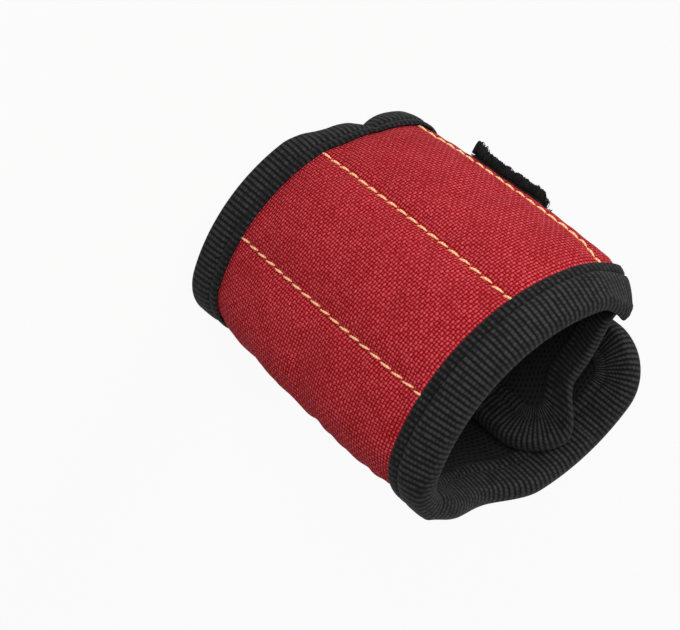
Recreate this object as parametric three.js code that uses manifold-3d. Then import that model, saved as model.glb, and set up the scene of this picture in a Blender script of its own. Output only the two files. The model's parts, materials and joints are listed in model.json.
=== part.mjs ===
import * as THREE from 'three';
import { mergeVertices } from 'three/addons/utils/BufferGeometryUtils.js';
import Module from 'manifold-3d';

// A magnetic wristband, closed into an oval loop and standing on its hand-side edge.
// Millimetres, +Z along the arm towards the elbow, the middle pocket facing -Y.

// Driving dimensions: the loop seen from above
const bandWidth = 90;
const loopHalfWidth = 35;
const loopHalfDepth = 21.5;
const sideRadius = 12;

// Pockets, counted along the loop from the middle of the front
const pocketShift = 7;
const lastSeamTurn = 25.6;
const crownHeight = 1.9;
const seamDip = 0.7;
const seamDipReach = 8;

// Layers
const shellThickness = 1;
const liningThickness = 0.9;
const foamThickness = 1.2;
const bindingWidth = 9.5;
const bindingThickness = 0.7;
const bindingFold = 1.6;
const bindingFootWidth = 2;

// Magnets and their trays
const magnetDiameter = 8;
const magnetThickness = 2;
const magnetsPerPocket = 5;
const magnetEndWall = 3;
const trayFloor = 0.3;
const trayEndMargin = 1;
const traySeamMargin = 3;

// Hook and loop closure
const loopTapeWidth = 26;
const loopTapeThickness = 1.6;
const hookTapeWidth = 26;
const hookTapeThickness = 1.3;
const tapeMargin = 2.5;
const tapeTowardsHand = 5;
const flapLength = 31;
const endCornerRadius = 14;

// Seam thread
const threadDiameter = 0.7;
const stitchPitch = 3.7;
const stitchGap = 0.9;
const stitchDepth = 1.6;

// Clearances
const layerGap = 0.25;
const fitGap = 0.3;
const wrapSlack = 0.6;
const seamGap = 0.4;

// Facets
const facetLength = 3.4;
const crownFacets = 8;
const cornerFacets = 5;
const edgeFacets = 3;
const legFacets = 2;
const discSides = 12;
const threadSides = 4;

// Layer offsets, measured outward from the shell's outer face at the binding
const trayThickness = magnetThickness + trayFloor;
const underShell = -shellThickness - layerGap;
const pocketLiningTop = underShell - trayThickness - layerGap;
const panelLiningTop = underShell - foamThickness - layerGap;
const pocketStack = liningThickness - pocketLiningTop;
const panelStack = liningThickness - panelLiningTop;
const bindingProud = layerGap + bindingThickness;
const closureStack = panelStack + loopTapeThickness + hookTapeThickness + 2 * layerGap + fitGap;
const wrapOffset = closureStack + wrapSlack;
const middleHeight = bandWidth / 2;
const crownHalfLength = middleHeight - bindingWidth;
const threadSlot = threadDiameter / 2 + layerGap;

// Finishes
const finish = (color, roughness, metalness = 0) => () =>
  new THREE.MeshStandardMaterial({ color, roughness, metalness });
const redWeave = finish(0xb41e32, 0.85);
const blackMesh = finish(0x17171a, 0.95);
const ribbedTape = finish(0x232326, 0.85);
const greyFoam = finish(0x3c3d40, 0.95);
const paleThread = finish(0xffc882, 0.7);
const fuzzyTape = finish(0x121214, 1);
const hookedTape = finish(0x1a1a1c, 0.6);
const nickel = finish(0xc9ccd0, 0.25, 1);

// A path in plan: arcs that follow each other, each with its outside away from its centre
class ArcPath {
  constructor(arcs, zero = 0) {
    this.arcs = arcs;
    this.zero = zero;
  }

  at(distance) {
    const last = this.arcs[this.arcs.length - 1];
    let left = distance + this.zero;
    for (const arc of this.arcs) {
      const length = arc.radius * (arc.end - arc.start);
      if (left <= length || arc === last) {
        const angle = arc.start + left / arc.radius;
        const normal = new THREE.Vector2(Math.cos(angle), Math.sin(angle));
        const point = arc.centre.clone().addScaledVector(normal, arc.radius);
        return { point, normal, angle };
      }
      left -= length;
    }
  }

  // A point at a distance along the path, an offset outward from it and a height
  place(distance, outward, height) {
    const { point, normal } = this.at(distance);
    return new THREE.Vector3(point.x + normal.x * outward, point.y + normal.y * outward, height);
  }
}

const arc = (x, y, radius, start, end) => ({ centre: new THREE.Vector2(x, y), radius, start, end });

// The loop is an oval of four arcs, and distance 0 is the middle of its front
const quarter = Math.PI / 2;
const sideCentre = loopHalfWidth - sideRadius;
const depthOverSide = loopHalfDepth - sideRadius;
const frontCentre = (sideCentre ** 2 - depthOverSide ** 2) / (2 * depthOverSide);
const frontRadius = loopHalfDepth + frontCentre;
const frontAngle = Math.atan2(sideCentre, frontCentre);
const backCentre = new THREE.Vector2(0, -frontCentre);
const frontLength = 2 * frontRadius * frontAngle;
const sideLength = 2 * sideRadius * (quarter - frontAngle);
const backMiddle = -frontLength - sideLength;
const backArc = (middle) =>
  arc(backCentre.x, backCentre.y, frontRadius, middle - frontAngle, middle + frontAngle);
const oval = new ArcPath([
  backArc(-3 * quarter),
  arc(-sideCentre, 0, sideRadius, -3 * quarter + frontAngle, -quarter - frontAngle),
  arc(0, frontCentre, frontRadius, -quarter - frontAngle, -quarter + frontAngle),
  arc(sideCentre, 0, sideRadius, -quarter + frontAngle, quarter - frontAngle),
  backArc(quarter),
], 1.5 * frontLength + sideLength);

// Seams, as distances along the oval. The last one lies a given turn (in degrees) round
// the side towards the back, so that the back panel leaves the oval at the same slope
// on any loop, and the pockets share the length before it
const seamTurn = THREE.MathUtils.degToRad(lastSeamTurn);
const lastSeam = frontLength / 2 + sideRadius * (quarter - frontAngle + seamTurn);
const pocketPitch = (lastSeam - pocketShift) / 1.5;
const seamLoop = pocketShift - 1.5 * pocketPitch;
const seamAB = pocketShift - 0.5 * pocketPitch;
const seamBC = pocketShift + 0.5 * pocketPitch;
const seamBack = pocketShift + 1.5 * pocketPitch;

// The outer wrap leaves the oval at the last seam on one arc, runs into a circle that
// clears the loop end and both tapes, and follows it round the next corner
const wrapStart = oval.at(seamBack);
const backCircle = frontRadius + wrapOffset;
const startFromBack = wrapStart.point.clone().sub(backCentre);
const wrapRadius = (backCircle ** 2 - startFromBack.lengthSq())
  / (2 * (backCircle - startFromBack.dot(wrapStart.normal)));
const wrapCentre = wrapStart.point.clone().addScaledVector(wrapStart.normal, -wrapRadius);
const wrapDrift = wrapCentre.clone().sub(backCentre);
const mergeAngle = wrapDrift.angle();
const cornerAngle = quarter + frontAngle;
const wrap = new ArcPath([
  arc(wrapCentre.x, wrapCentre.y, wrapRadius, wrapStart.angle, mergeAngle),
  arc(backCentre.x, backCentre.y, backCircle, mergeAngle, cornerAngle),
  arc(-sideCentre, 0, sideRadius + wrapOffset, cornerAngle, cornerAngle + quarter),
]);

// The flap starts as soon as the wrap has room for both tapes
const closureCircle = frontRadius + closureStack;
const hingeBeforeMerge = Math.acos((closureCircle ** 2 - wrapDrift.lengthSq() - wrapRadius ** 2)
  / (2 * wrapDrift.length() * wrapRadius));
const flapHinge = wrapRadius * (mergeAngle - hingeBeforeMerge - wrapStart.angle);
const flapTip = flapHinge + flapLength;

// The loop end runs on under the back panel until that panel comes down to it
const roomUnderWrap = (distance) => {
  const { point, normal } = oval.at(distance);
  const fromCentre = point.clone().sub(wrapCentre);
  const along = fromCentre.dot(normal);
  return Math.sqrt(along ** 2 - fromCentre.lengthSq() + wrapRadius ** 2) - along;
};
const findLoopTip = () => {
  const roomNeeded = panelStack + 2 * bindingProud + 2 * fitGap;
  let clear = backMiddle;
  let blocked = backMiddle - frontLength / 2;
  for (let step = 0; step < 40; step += 1) {
    const middle = (clear + blocked) / 2;
    if (roomUnderWrap(middle) > roomNeeded) clear = middle;
    else blocked = middle;
  }
  return clear;
};
const loopTip = findLoopTip();

// A closed body lofted through rings of points, with a flat cap on each end
function loft(rings, capContour) {
  const count = rings[0].length;
  const points = rings.flat();
  const faces = [];
  for (let ring = 0; ring + 1 < rings.length; ring += 1) {
    for (let corner = 0; corner < count; corner += 1) {
      const next = (corner + 1) % count;
      const a = ring * count + corner;
      const b = ring * count + next;
      faces.push([a, b, b + count], [a, b + count, a + count]);
    }
  }
  const lastRing = points.length - count;
  const turnsLeft = THREE.ShapeUtils.area(capContour) > 0;
  for (const face of THREE.ShapeUtils.triangulateShape(capContour, [])) {
    const faceTurnsLeft = THREE.ShapeUtils.area(face.map((corner) => capContour[corner])) > 0;
    const [a, b, c] = faceTurnsLeft === turnsLeft ? face : [...face].reverse();
    faces.push([c, b, a], [a + lastRing, b + lastRing, c + lastRing]);
  }
  const volume = faces.reduce((sum, [a, b, c]) =>
    sum + points[a].dot(points[b].clone().cross(points[c])), 0);
  const outward = volume > 0 ? faces : faces.map(([a, b, c]) => [a, c, b]);
  const geometry = new THREE.BufferGeometry().setFromPoints(points);
  geometry.setIndex(outward.flat());
  return geometry;
}

// A panel: its section, as offsets and heights, is carried along a path
function sweep(path, stations, section) {
  const rings = stations.map((distance) =>
    section(distance).map(([outward, height]) => path.place(distance, outward, height)));
  const contour = section(stations[0]).map(([outward, height]) => new THREE.Vector2(outward, height));
  return loft(rings, contour);
}

// Evenly spaced values, both ends included
const spread = (start, end, steps) =>
  Array.from({ length: steps + 1 }, (_, step) => start + (end - start) * step / steps);
const alongPath = (start, end) =>
  spread(start, end, Math.max(1, Math.ceil(Math.abs(end - start) / facetLength)));
const slab = (top, bottom, low, high) => [[top, low], [top, high], [bottom, high], [bottom, low]];

// How far the crown has risen at a height: nothing at the bindings, all of it in the middle
const crownShape = (height) => 1 - Math.min(1, Math.abs(height - middleHeight) / crownHalfLength) ** 3;

// The swell of a pocket's outer face, drawn in towards the seams at both its sides
function swell(distance, height, pocketStart) {
  const fromSeam = Math.min(distance - pocketStart, pocketStart + pocketPitch - distance);
  const drawn = seamDip * Math.max(0, 1 - fromSeam / seamDipReach) ** 2;
  return Math.max(0, crownHeight - drawn) * crownShape(height);
}

// A layer of a pocket between its swelling top and a level or swelling bottom
function pocketLayer(pocketStart, stations, heights, top, bottom) {
  return sweep(oval, stations, (distance) => [
    ...heights.map((height) => [top + swell(distance, height, pocketStart), height]),
    ...bottom(distance).reverse(),
  ]);
}

// Heights of a folded panel's lower and upper ends
const panelLow = bindingFold + layerGap;
const panelHigh = bandWidth - panelLow;
const crownHeights = spread(bindingWidth, bandWidth - bindingWidth, crownFacets);

const wristband = new THREE.Group();

function addPiece(name, geometry, material) {
  const mesh = new THREE.Mesh(geometry, material());
  mesh.name = name;
  wristband.add(mesh);
  return mesh;
}

// Boolean cuts
const wasm = await Module();
wasm.setup();

function solidOf(geometry) {
  const bare = geometry.clone();
  bare.deleteAttribute('normal');
  bare.deleteAttribute('uv');
  const merged = mergeVertices(bare, 1e-4);
  return new wasm.Manifold(new wasm.Mesh({
    numProp: 3,
    vertProperties: new Float32Array(merged.attributes.position.array),
    triVerts: new Uint32Array(merged.index.array),
  }));
}

function geometryOf(solid) {
  const mesh = solid.getMesh();
  const geometry = new THREE.BufferGeometry();
  geometry.setAttribute('position', new THREE.BufferAttribute(mesh.vertProperties, 3));
  geometry.setIndex(new THREE.BufferAttribute(mesh.triVerts, 1));
  return geometry;
}

// Binding tape: a folded strip with a rounded fold, flat along its foot so that it stands.
// Its section is given as depths inward from the edge and offsets outward
function bindingSection(stack, legSteps) {
  const outer = bindingProud;
  const inner = -stack - bindingProud;
  const middle = (outer + inner) / 2;
  const half = (outer - inner) / 2;
  const round = half - bindingFootWidth / 2;
  const turn = spread(0, quarter, edgeFacets);
  const fold = (side) => turn.map((angle) => [
    round * (1 - Math.sin(angle)),
    middle + side * (half - round * (1 - Math.cos(angle))),
  ]);
  const leg = (from, to, outward) => spread(from, to, legSteps).map((depth) => [depth, outward]);
  return [
    ...leg(bindingWidth, round, outer).slice(0, -1),
    ...fold(1),
    ...fold(-1).reverse(),
    ...leg(round, bindingWidth, inner).slice(1),
    ...leg(bindingWidth, bindingFold, inner + bindingThickness),
    ...leg(bindingFold, bindingWidth, outer - bindingThickness),
  ];
}

// The tape follows a route of places on the panel's rim, each with its inward direction
function bindRoute(path, route, stack, legSteps) {
  const section = bindingSection(stack, legSteps);
  const rings = route.map(({ distance, height, inward }) => section.map(([depth, outward]) =>
    path.place(distance + inward.x * depth, outward, height + inward.y * depth)));
  return loft(rings, section.map(([depth, outward]) => new THREE.Vector2(depth, outward)));
}

function addEdgeBindings(name, path, start, end, stack) {
  const edges = [
    { edge: 'hand', height: 0, inward: new THREE.Vector2(0, 1) },
    { edge: 'forearm', height: bandWidth, inward: new THREE.Vector2(0, -1) },
  ];
  for (const { edge, height, inward } of edges) {
    const route = alongPath(start, end).map((distance) => ({ distance, height, inward }));
    addPiece(`${name}_binding_${edge}`, bindRoute(path, route, stack, 1), ribbedTape);
  }
}

// The turn of a rounded corner, from its straight side (0) to its end (a quarter)
const cornerTurn = spread(0, quarter, cornerFacets);

// One tape round the three free sides of an end panel, with rounded corners
function endBinding(path, start, tip) {
  const towardsTip = Math.sign(tip - start);
  const cornerStart = tip - towardsTip * endCornerRadius;
  const lowerHalf = [
    ...alongPath(start, cornerStart).slice(0, -1).map((distance) => ({
      distance,
      height: 0,
      inward: new THREE.Vector2(0, 1),
    })),
    ...cornerTurn.map((angle) => ({
      distance: cornerStart + towardsTip * endCornerRadius * Math.sin(angle),
      height: endCornerRadius * (1 - Math.cos(angle)),
      inward: new THREE.Vector2(-towardsTip * Math.sin(angle), Math.cos(angle)),
    })),
  ];
  const upperHalf = lowerHalf.map(({ distance, height, inward }) => ({
    distance,
    height: bandWidth - height,
    inward: new THREE.Vector2(inward.x, -inward.y),
  })).reverse();
  return bindRoute(path, [...lowerHalf, ...upperHalf], panelStack, legFacets);
}

// A layer of an end panel, with the same rounded corners set in by the tape
function endLayer(path, start, tip, top, bottom) {
  const towardsTip = Math.sign(tip - start);
  const radius = endCornerRadius - panelLow;
  const cornerStart = tip - towardsTip * endCornerRadius;
  const rise = new Map(alongPath(start, cornerStart).slice(0, -1).map((distance) => [distance, 0]));
  for (const angle of cornerTurn) {
    rise.set(cornerStart + towardsTip * radius * Math.sin(angle), radius * (1 - Math.cos(angle)));
  }
  return sweep(path, [...rise.keys()], (distance) =>
    slab(top, bottom, panelLow + rise.get(distance), panelHigh - rise.get(distance)));
}

function addEndPanel(name, path, start, tip, layerStart) {
  addPiece(`${name}_outer`, endLayer(path, layerStart, tip, 0, -shellThickness), redWeave);
  addPiece(`${name}_foam`, endLayer(path, layerStart, tip, underShell, underShell - foamThickness), greyFoam);
  addPiece(`${name}_lining`, endLayer(path, layerStart, tip, panelLiningTop, -panelStack), blackMesh);
  addPiece(`${name}_binding`, endBinding(path, start, tip), ribbedTape);
}

// Magnets: flat discs, each on a pocket's middle line with its axis square to the lining
const trayHalfLength = crownHalfLength - trayEndMargin;
const magnetReach = trayHalfLength - magnetEndWall - magnetDiameter / 2 - fitGap;
const magnetHeights = spread(middleHeight - magnetReach, middleHeight + magnetReach, magnetsPerPocket - 1);
const magnetOffset = pocketLiningTop + fitGap + magnetThickness / 2;

function placeDisc(object, middle, outward, height) {
  object.position.copy(oval.place(middle, outward, height));
  object.rotation.z = oval.at(middle).angle - quarter;
  object.updateMatrix();
}

function magnetTray(pocketStart) {
  const stations = alongPath(pocketStart + traySeamMargin, pocketStart + pocketPitch - traySeamMargin);
  const low = middleHeight - trayHalfLength;
  const high = middleHeight + trayHalfLength;
  const bottom = () => [[pocketLiningTop + layerGap, low], [pocketLiningTop + layerGap, high]];
  const heights = spread(low, high, crownFacets);
  let tray = solidOf(pocketLayer(pocketStart, stations, heights, underShell, bottom));
  const holeRadius = magnetDiameter / 2 + fitGap;
  const holeDepth = 4 * (trayThickness + crownHeight);
  for (const height of magnetHeights) {
    const hole = new THREE.Mesh(new THREE.CylinderGeometry(holeRadius, holeRadius, holeDepth, discSides));
    placeDisc(hole, pocketStart + pocketPitch / 2, magnetOffset, height);
    tray = tray.subtract(solidOf(hole.geometry.applyMatrix4(hole.matrix)));
  }
  return geometryOf(tray);
}

// One pocket, between the seam at its start and the next seam
function addPocket(name, pocketStart) {
  const pocketEnd = pocketStart + pocketPitch;
  const stations = alongPath(pocketStart + threadSlot, pocketEnd - threadSlot);
  const heights = [panelLow, ...crownHeights, panelHigh];
  const shellBottom = (distance) => heights.map((height) =>
    [swell(distance, height, pocketStart) - shellThickness, height]);
  addPiece(`${name}_outer`, pocketLayer(pocketStart, stations, heights, 0, shellBottom), redWeave);
  addPiece(`${name}_magnet_tray`, magnetTray(pocketStart), greyFoam);
  const lining = sweep(oval, alongPath(pocketStart + seamGap / 2, pocketEnd - seamGap / 2), () =>
    slab(pocketLiningTop, -pocketStack, panelLow, panelHigh));
  addPiece(`${name}_lining`, lining, blackMesh);
  magnetHeights.forEach((height, index) => {
    const radius = magnetDiameter / 2;
    const disc = new THREE.CylinderGeometry(radius, radius, magnetThickness, discSides);
    const magnet = addPiece(`${name}_magnet_${index + 1}`, disc, nickel);
    placeDisc(magnet, pocketStart + pocketPitch / 2, magnetOffset, height);
  });
  addEdgeBindings(name, oval, pocketStart + seamGap / 2, pocketEnd - seamGap / 2, pocketStack);
}

// A seam's thread: stitches along the outer face that dip between the panels and rise again
function addSeamThread(name, seam) {
  const stitchRun = bandWidth - 2 * bindingWidth - 2 * fitGap - threadDiameter;
  const stitchCount = Math.floor(stitchRun / stitchPitch);
  const runStart = middleHeight - stitchCount * stitchPitch / 2;
  const surface = (height) => Math.max(0, crownHeight - seamDip) * crownShape(height);
  const route = [];
  for (let stitch = 0; stitch < stitchCount; stitch += 1) {
    const low = runStart + stitch * stitchPitch + stitchGap / 2;
    const high = runStart + (stitch + 1) * stitchPitch - stitchGap / 2;
    route.push([surface(low), low], [surface(high), high]);
    if (stitch + 1 < stitchCount) {
      const dip = high + stitchGap / 2;
      route.push([surface(dip) - stitchDepth, dip]);
    }
  }
  const nodes = route.map(([outward, height]) => new THREE.Vector2(outward, height));
  const turns = spread(0, 2 * Math.PI, threadSides).slice(0, -1);
  const rings = nodes.map((node, index) => {
    const before = nodes[Math.max(0, index - 1)];
    const after = nodes[Math.min(nodes.length - 1, index + 1)];
    const along = after.clone().sub(before).normalize();
    return turns.map((turn) => {
      const sideways = Math.cos(turn) * threadDiameter / 2;
      const across = Math.sin(turn) * threadDiameter / 2;
      return oval.place(seam, node.x + along.y * across, node.y - along.x * across)
        .add(new THREE.Vector3(...tangentAt(seam), 0).multiplyScalar(sideways));
    });
  });
  const contour = turns.map((turn) => new THREE.Vector2(Math.cos(turn), Math.sin(turn)));
  addPiece(name, loft(rings, contour), paleThread);
}

function tangentAt(seam) {
  const { normal } = oval.at(seam);
  return [-normal.y, normal.x];
}

// A tape laid flat on an end panel, a little nearer to the hand than to the elbow
function addTape(name, path, start, end, top, bottom, width, material) {
  const tapeMiddle = middleHeight - tapeTowardsHand;
  const low = tapeMiddle - width / 2;
  const high = tapeMiddle + width / 2;
  addPiece(name, sweep(path, alongPath(start, end), () => slab(top, bottom, low, high)), material);
}

addPocket('pocket_a', seamLoop);
addPocket('pocket_b', seamAB);
addPocket('pocket_c', seamBC);

addSeamThread('seam_thread_loop', seamLoop);
addSeamThread('seam_thread_ab', seamAB);
addSeamThread('seam_thread_bc', seamBC);
addSeamThread('seam_thread_back', seamBack);

addEndPanel('loop_end', oval, seamLoop - seamGap / 2, loopTip, seamLoop - threadSlot);
addTape('loop_tape', oval, seamLoop - threadSlot - tapeMargin, loopTip + bindingWidth + tapeMargin,
  layerGap + loopTapeThickness, layerGap, loopTapeWidth, fuzzyTape);

const backStart = seamGap / 2;
const backEnd = flapHinge - seamGap / 2;
const backStations = alongPath(threadSlot, backEnd);
const backLayer = (top, bottom) =>
  sweep(wrap, backStations, () => slab(top, bottom, panelLow, panelHigh));
addPiece('back_panel_outer', backLayer(0, -shellThickness), redWeave);
addPiece('back_panel_foam', backLayer(underShell, underShell - foamThickness), greyFoam);
addPiece('back_panel_lining', backLayer(panelLiningTop, -panelStack), blackMesh);
addEdgeBindings('back_panel', wrap, backStart, backEnd, panelStack);

const flapStart = flapHinge + seamGap / 2;
addEndPanel('hook_flap', wrap, flapStart, flapTip, flapStart);
addTape('hook_tape', wrap, flapStart + tapeMargin, flapTip - bindingWidth - tapeMargin,
  -panelStack - layerGap, -panelStack - layerGap - hookTapeThickness, hookTapeWidth, hookedTape);

// The origin is the middle of the standing edge
wristband.updateMatrixWorld(true);
const middle = new THREE.Box3().setFromObject(wristband).getCenter(new THREE.Vector3());
wristband.position.set(-middle.x, -middle.y, 0);

export default wristband;
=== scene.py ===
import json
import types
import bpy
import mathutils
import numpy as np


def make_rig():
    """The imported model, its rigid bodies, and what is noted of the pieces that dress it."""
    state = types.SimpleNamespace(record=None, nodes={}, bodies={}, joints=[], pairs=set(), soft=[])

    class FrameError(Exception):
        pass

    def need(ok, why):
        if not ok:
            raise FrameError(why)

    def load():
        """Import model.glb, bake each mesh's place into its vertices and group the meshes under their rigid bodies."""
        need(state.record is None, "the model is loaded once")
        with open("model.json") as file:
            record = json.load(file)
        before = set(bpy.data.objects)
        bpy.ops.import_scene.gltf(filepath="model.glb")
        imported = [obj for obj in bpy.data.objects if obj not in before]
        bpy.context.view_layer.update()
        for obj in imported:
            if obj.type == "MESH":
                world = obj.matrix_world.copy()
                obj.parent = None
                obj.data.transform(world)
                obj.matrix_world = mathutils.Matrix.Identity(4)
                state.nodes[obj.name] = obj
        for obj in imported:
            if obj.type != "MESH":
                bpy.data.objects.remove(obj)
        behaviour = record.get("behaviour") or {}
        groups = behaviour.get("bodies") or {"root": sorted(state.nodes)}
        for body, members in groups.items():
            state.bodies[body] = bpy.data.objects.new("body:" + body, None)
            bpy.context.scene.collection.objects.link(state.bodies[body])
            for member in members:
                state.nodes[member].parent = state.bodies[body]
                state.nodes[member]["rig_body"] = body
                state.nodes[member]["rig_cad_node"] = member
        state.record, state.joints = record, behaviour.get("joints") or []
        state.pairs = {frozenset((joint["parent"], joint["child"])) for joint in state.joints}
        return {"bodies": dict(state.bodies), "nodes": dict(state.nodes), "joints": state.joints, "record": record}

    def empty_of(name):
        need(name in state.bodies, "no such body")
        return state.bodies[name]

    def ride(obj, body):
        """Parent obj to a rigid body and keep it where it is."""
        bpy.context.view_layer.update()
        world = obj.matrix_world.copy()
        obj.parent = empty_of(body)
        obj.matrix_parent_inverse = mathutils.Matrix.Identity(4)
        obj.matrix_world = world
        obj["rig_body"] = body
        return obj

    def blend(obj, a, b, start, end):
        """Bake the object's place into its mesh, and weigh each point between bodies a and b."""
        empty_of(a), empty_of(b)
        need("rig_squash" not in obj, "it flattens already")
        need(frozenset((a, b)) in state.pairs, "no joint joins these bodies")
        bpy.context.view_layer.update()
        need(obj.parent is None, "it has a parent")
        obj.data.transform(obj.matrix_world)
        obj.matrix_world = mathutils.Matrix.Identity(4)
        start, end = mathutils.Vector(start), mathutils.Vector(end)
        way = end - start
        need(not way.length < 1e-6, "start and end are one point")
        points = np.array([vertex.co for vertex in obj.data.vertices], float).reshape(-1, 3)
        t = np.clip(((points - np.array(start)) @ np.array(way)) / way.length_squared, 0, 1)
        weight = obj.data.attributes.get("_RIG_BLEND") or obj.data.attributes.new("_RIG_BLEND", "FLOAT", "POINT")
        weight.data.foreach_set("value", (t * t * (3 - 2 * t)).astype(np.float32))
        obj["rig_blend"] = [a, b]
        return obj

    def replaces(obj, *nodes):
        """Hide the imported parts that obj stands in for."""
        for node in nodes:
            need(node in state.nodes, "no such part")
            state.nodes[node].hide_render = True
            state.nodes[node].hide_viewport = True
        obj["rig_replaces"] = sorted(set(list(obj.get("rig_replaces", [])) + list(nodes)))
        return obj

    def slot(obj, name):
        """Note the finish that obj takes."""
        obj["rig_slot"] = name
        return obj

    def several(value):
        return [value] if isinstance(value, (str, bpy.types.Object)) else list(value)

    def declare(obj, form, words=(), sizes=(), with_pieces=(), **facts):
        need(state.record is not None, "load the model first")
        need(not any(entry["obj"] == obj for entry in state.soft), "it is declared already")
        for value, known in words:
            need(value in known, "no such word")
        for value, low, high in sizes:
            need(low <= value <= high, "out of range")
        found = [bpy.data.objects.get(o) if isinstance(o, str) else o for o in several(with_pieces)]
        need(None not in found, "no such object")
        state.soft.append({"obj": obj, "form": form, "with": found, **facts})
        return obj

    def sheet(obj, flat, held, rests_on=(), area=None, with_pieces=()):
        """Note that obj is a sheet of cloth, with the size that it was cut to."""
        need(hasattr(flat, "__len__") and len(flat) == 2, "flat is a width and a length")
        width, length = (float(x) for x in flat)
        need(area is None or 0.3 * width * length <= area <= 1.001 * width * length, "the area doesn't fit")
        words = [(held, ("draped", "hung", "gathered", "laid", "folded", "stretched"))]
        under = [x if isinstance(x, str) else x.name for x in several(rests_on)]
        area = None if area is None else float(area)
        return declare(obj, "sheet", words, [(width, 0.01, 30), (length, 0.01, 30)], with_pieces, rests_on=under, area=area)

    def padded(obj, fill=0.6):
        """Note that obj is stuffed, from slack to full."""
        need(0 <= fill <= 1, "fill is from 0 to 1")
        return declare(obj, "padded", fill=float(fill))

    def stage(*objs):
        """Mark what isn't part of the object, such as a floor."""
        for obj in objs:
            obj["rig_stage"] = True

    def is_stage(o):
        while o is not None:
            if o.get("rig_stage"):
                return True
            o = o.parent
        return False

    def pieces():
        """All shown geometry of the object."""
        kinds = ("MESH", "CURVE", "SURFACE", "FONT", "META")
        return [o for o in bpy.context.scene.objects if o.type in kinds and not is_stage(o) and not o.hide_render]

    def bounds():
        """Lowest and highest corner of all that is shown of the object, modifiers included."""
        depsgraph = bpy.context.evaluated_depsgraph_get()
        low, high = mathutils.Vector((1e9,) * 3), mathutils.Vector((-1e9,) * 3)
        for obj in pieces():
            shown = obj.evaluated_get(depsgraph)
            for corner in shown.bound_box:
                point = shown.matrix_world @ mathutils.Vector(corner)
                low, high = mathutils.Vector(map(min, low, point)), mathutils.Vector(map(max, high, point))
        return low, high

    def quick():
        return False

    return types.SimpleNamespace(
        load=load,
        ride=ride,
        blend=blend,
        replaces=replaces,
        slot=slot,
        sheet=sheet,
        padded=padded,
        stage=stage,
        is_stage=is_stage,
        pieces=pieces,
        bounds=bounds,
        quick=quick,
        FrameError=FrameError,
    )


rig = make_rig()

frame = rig.load()

import json
import math
import bpy
import numpy as np
from mathutils import Matrix, Vector

# Magnetic wristband, closed in a loop and standing on its lower edge.
# Everything is worked out in millimetres as (along the band, out from it, height).
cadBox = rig.bounds()
scene = bpy.context.scene
metre = 0.001

band = dict(
    width=90.0,          # from edge to edge
    halfWidth=35.0,      # of the oval loop seen from above
    halfDepth=21.5,
    sideRadius=12.0,
    pocketShift=7.0,     # middle pocket's middle, from the middle of the front
    lastSeamTurn=25.6,   # degrees round the side, where the back panel starts
    closureStack=7.3,    # a panel with both tapes and their gaps
    wrapSlack=0.6,       # spare room over that, well behind the flap's fold
    flapLength=31.0,
    tipRadius=14.0,      # rounded corners of both ends
    tipRoom=6.1,         # the loop end stops where the back panel comes this close
    pocketStack=4.7,     # shell to lining
    panelStack=3.6,
    stackFade=9.0,       # the pockets thin down to a panel over this length
    hingeReach=5.25,     # half the length of band that bends at a seam
    step=0.34,           # all pieces start and end on this raster
)


# The line that the band follows in plan
class BandPath:
    def __init__(self, arcs, zero):
        self.arcs = np.array(arcs)
        lengths = self.arcs[:, 2] * (self.arcs[:, 4] - self.arcs[:, 3])
        self.ends = np.cumsum(lengths) - zero
        self.starts = self.ends - lengths

    def at(self, along):
        index = np.clip(np.searchsorted(self.ends, along), 0, len(self.arcs) - 1)
        centreX, centreY, radius, start, _ = np.moveaxis(self.arcs[index], -1, 0)
        angle = start + (along - self.starts[index]) / radius
        normalX, normalY = np.cos(angle), np.sin(angle)
        return centreX + normalX * radius, centreY + normalY * radius, normalX, normalY


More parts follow.
